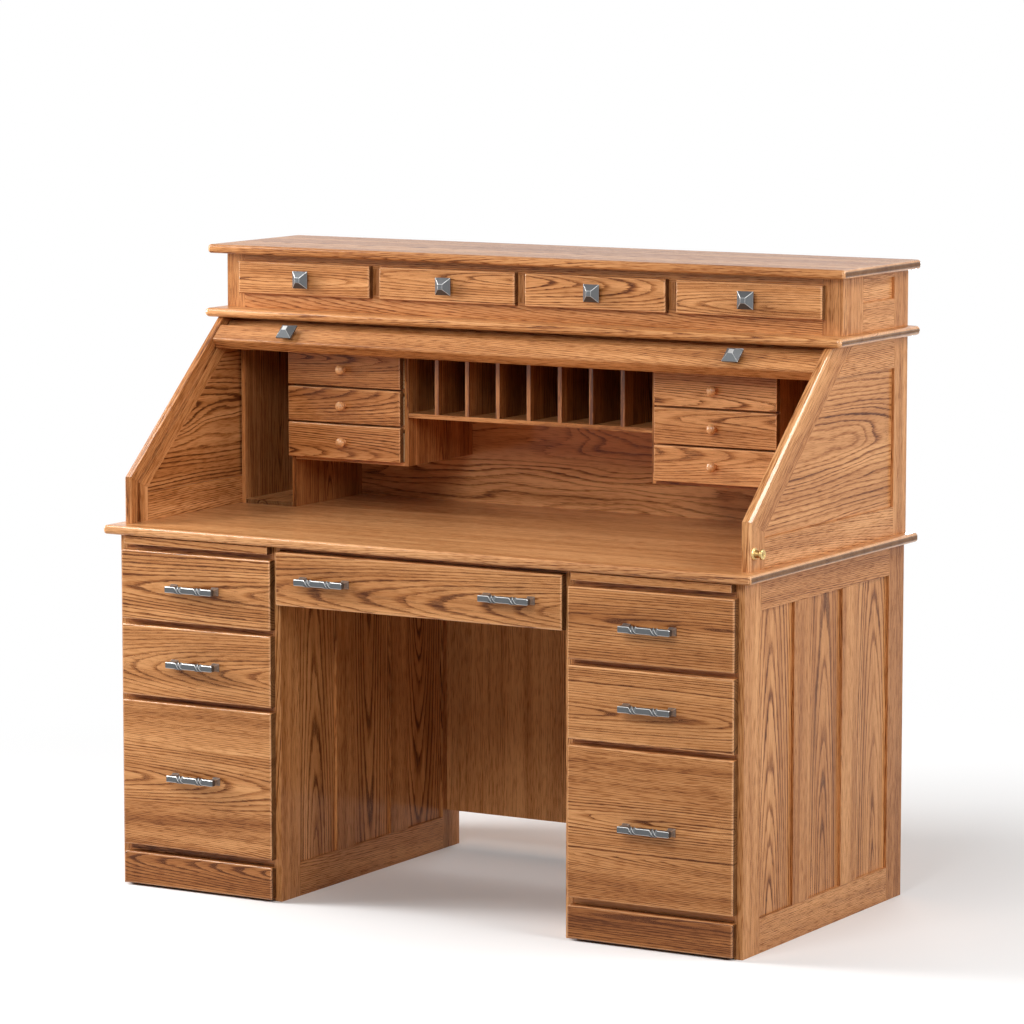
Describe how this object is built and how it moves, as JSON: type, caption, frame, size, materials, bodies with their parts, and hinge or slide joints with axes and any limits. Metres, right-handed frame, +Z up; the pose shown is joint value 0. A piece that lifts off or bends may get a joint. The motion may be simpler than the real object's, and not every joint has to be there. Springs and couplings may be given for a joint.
{
  "type": "roll-top desk",
  "caption": "Oak roll-top desk with straight sloped sides, drawer pedestals, a slatted roll front over pigeonholes, and a row of small drawers on top.",
  "frame": {"origin": "on the floor, under the middle of the desk's outer box", "axes": "+X to the sitter's right, +Y to the back of the desk, +Z up"},
  "size_m": [1.524, 0.768, 1.326],
  "materials": {
    "oak": "golden-brown stain under satin lacquer, open straight and cathedral grain",
    "pewter": "aged pewter, satin",
    "brass": "polished",
    "canvas": "plain woven backing"
  },
  "bodies": {
    "desk": {"base_boards": "oak", "centre_drawer_rails": "oak", "desk_top": "oak", "hutch_back": "oak", "hutch_dividers": "oak", "hutch_face_frame": "oak", "hutch_sides": "oak", "hutch_top": "oak", "ledge": "oak", "left_pedestal_frame": "oak", "left_slope_side": "oak", "letter_dividers": "oak", "lock_rosette": "brass", "modesty_panel": "oak", "pedestal_backs": "oak", "pedestal_floors": "oak", "pedestal_panels": "oak", "pigeonhole_shelves": "oak", "pigeonhole_uprights": "oak", "right_pedestal_frame": "oak", "right_slope_side": "oak", "upper_back": "oak", "web_frames": "oak"},
    "left_drawer_1": {"left_drawer_1": "oak", "left_pull_1": "pewter"},
    "left_drawer_2": {"left_drawer_2": "oak", "left_pull_2": "pewter"},
    "left_drawer_3": {"left_drawer_3": "oak", "left_pull_3": "pewter"},
    "left_writing_slide": {"left_writing_slide": "oak"},
    "right_drawer_1": {"right_drawer_1": "oak", "right_pull_1": "pewter"},
    "right_drawer_2": {"right_drawer_2": "oak", "right_pull_2": "pewter"},
    "right_drawer_3": {"right_drawer_3": "oak", "right_pull_3": "pewter"},
    "right_writing_slide": {"right_writing_slide": "oak"},
    "centre_drawer": {"centre_drawer": "oak", "centre_pulls": "pewter"},
    "hutch_drawer_1": {"hutch_drawer_1": "oak", "hutch_knob_1": "pewter"},
    "hutch_drawer_2": {"hutch_drawer_2": "oak", "hutch_knob_2": "pewter"},
    "hutch_drawer_3": {"hutch_drawer_3": "oak", "hutch_knob_3": "pewter"},
    "hutch_drawer_4": {"hutch_drawer_4": "oak", "hutch_knob_4": "pewter"},
    "left_pigeonhole_drawer_1": {"left_pigeonhole_drawer_1": "oak"},
    "left_pigeonhole_drawer_2": {"left_pigeonhole_drawer_2": "oak"},
    "left_pigeonhole_drawer_3": {"left_pigeonhole_drawer_3": "oak"},
    "right_pigeonhole_drawer_1": {"right_pigeonhole_drawer_1": "oak"},
    "right_pigeonhole_drawer_2": {"right_pigeonhole_drawer_2": "oak"},
    "right_pigeonhole_drawer_3": {"right_pigeonhole_drawer_3": "oak"},
    "curtain": {"curtain_slats": "oak", "curtain_canvas": "canvas"},
    "lead_rail": {"lead_rail": "oak", "lead_rail_knobs": "pewter", "lead_slats": "oak"},
    "curtain_tail": {"tail_slats": "oak"},
    "lock_plunger": {"lock_plunger": "brass"}
  },
  "joints": [
    {"name": "left_drawer_1_slide", "type": "slide", "parent": "desk", "child": "left_drawer_1", "axis": [0, -1, 0], "range_m": [0, 0.43]},
    {"name": "left_drawer_2_slide", "type": "slide", "parent": "desk", "child": "left_drawer_2", "axis": [0, -1, 0], "range_m": [0, 0.43]},
    {"name": "left_drawer_3_slide", "type": "slide", "parent": "desk", "child": "left_drawer_3", "axis": [0, -1, 0], "range_m": [0, 0.43]},
    {"name": "left_writing_slide_slide", "type": "slide", "parent": "desk", "child": "left_writing_slide", "axis": [0, -1, 0], "range_m": [0, 0.33]},
    {"name": "right_drawer_1_slide", "type": "slide", "parent": "desk", "child": "right_drawer_1", "axis": [0, -1, 0], "range_m": [0, 0.43]},
    {"name": "right_drawer_2_slide", "type": "slide", "parent": "desk", "child": "right_drawer_2", "axis": [0, -1, 0], "range_m": [0, 0.43]},
    {"name": "right_drawer_3_slide", "type": "slide", "parent": "desk", "child": "right_drawer_3", "axis": [0, -1, 0], "range_m": [0, 0.43]},
    {"name": "right_writing_slide_slide", "type": "slide", "parent": "desk", "child": "right_writing_slide", "axis": [0, -1, 0], "range_m": [0, 0.33]},
    {"name": "centre_drawer_slide", "type": "slide", "parent": "desk", "child": "centre_drawer", "axis": [0, -1, 0], "range_m": [0, 0.36]},
    {"name": "hutch_drawer_1_slide", "type": "slide", "parent": "desk", "child": "hutch_drawer_1", "axis": [0, -1, 0], "range_m": [0, 0.18]},
    {"name": "hutch_drawer_2_slide", "type": "slide", "parent": "desk", "child": "hutch_drawer_2", "axis": [0, -1, 0], "range_m": [0, 0.18]},
    {"name": "hutch_drawer_3_slide", "type": "slide", "parent": "desk", "child": "hutch_drawer_3", "axis": [0, -1, 0], "range_m": [0, 0.18]},
    {"name": "hutch_drawer_4_slide", "type": "slide", "parent": "desk", "child": "hutch_drawer_4", "axis": [0, -1, 0], "range_m": [0, 0.18]},
    {"name": "left_pigeonhole_drawer_1_slide", "type": "slide", "parent": "desk", "child": "left_pigeonhole_drawer_1", "axis": [0, -1, 0], "range_m": [0, 0.17]},
    {"name": "left_pigeonhole_drawer_2_slide", "type": "slide", "parent": "desk", "child": "left_pigeonhole_drawer_2", "axis": [0, -1, 0], "range_m": [0, 0.17]},
    {"name": "left_pigeonhole_drawer_3_slide", "type": "slide", "parent": "desk", "child": "left_pigeonhole_drawer_3", "axis": [0, -1, 0], "range_m": [0, 0.17]},
    {"name": "right_pigeonhole_drawer_1_slide", "type": "slide", "parent": "desk", "child": "right_pigeonhole_drawer_1", "axis": [0, -1, 0], "range_m": [0, 0.17]},
    {"name": "right_pigeonhole_drawer_2_slide", "type": "slide", "parent": "desk", "child": "right_pigeonhole_drawer_2", "axis": [0, -1, 0], "range_m": [0, 0.17]},
    {"name": "right_pigeonhole_drawer_3_slide", "type": "slide", "parent": "desk", "child": "right_pigeonhole_drawer_3", "axis": [0, -1, 0], "range_m": [0, 0.17]},
    {"name": "tambour", "type": "hinge", "parent": "desk", "child": "curtain", "pos_m": [0, 0.30204, 0.5353], "axis": [-1, 0, 0], "range_deg": [-41.5, 0]},
    {"name": "lead_rail_turn", "type": "hinge", "parent": "curtain", "child": "lead_rail", "pos_m": [0, 0.06423, 1.163], "axis": [-1, 0, 0], "range_deg": [-7.01, 0]},
    {"name": "curtain_tail_slide", "type": "slide", "parent": "curtain", "child": "curtain_tail", "axis": [0, -1, 0], "range_m": [-0.18043, 0]},
    {"name": "lock_push", "type": "slide", "parent": "desk", "child": "lock_plunger", "axis": [1, 0, 0], "range_m": [-0.01, 0]}
  ],
  "couplings": [
    {"joint": "lead_rail_turn", "follows": "tambour", "ratio": 0.16867},
    {"joint": "curtain_tail_slide", "follows": "tambour", "m_per_rad": 0.24897}
  ]
}
